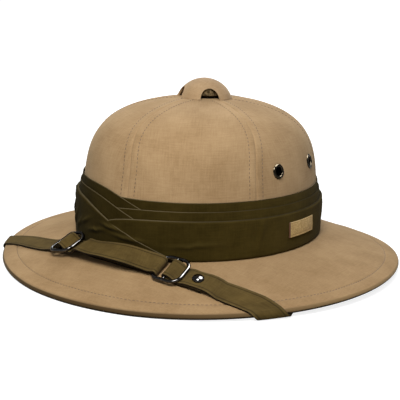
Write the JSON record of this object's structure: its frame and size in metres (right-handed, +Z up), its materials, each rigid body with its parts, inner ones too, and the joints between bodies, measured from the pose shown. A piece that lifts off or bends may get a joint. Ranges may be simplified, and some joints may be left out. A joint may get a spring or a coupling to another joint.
{
  "type": "pith helmet",
  "caption": "Cloth-covered pith helmet with a vented top cap, a pleated band and a chin strap worn over the front of its brim.",
  "frame": {"origin": "middle of the brim's outline, on the surface that the brim stands on", "axes": "-Y is the front, where the wearer looks, +X is the wearer's left and +Z is up"},
  "size_m": [0.322, 0.33, 0.1483],
  "materials": {
    "tan_cloth": "brushed cotton over a stiff pressed shell, matte",
    "olive_cotton": "folded cotton, matte",
    "olive_webbing": "sewn cotton strap, matte",
    "label_cork": "bare tan patch, matte",
    "eyelet_metal": "dark antique enamel, satin",
    "strap_metal": "dark nickel, polished"
  },
  "bodies": {
    "root": {"crown": "tan_cloth", "brim": "tan_cloth", "ventilator_cap": "tan_cloth", "eyelet_front_left": "eyelet_metal", "eyelet_rear_left": "eyelet_metal", "eyelet_front_right": "eyelet_metal", "eyelet_rear_right": "eyelet_metal", "puggaree_upper": "olive_cotton", "puggaree_middle": "olive_cotton", "puggaree_lower": "olive_cotton", "label_patch": "label_cork", "chin_strap_right": "olive_webbing", "chin_strap_left": "olive_webbing", "strap_slider": "strap_metal", "strap_ring": "strap_metal", "strap_rivet": "strap_metal"}
  },
  "joints": []
}
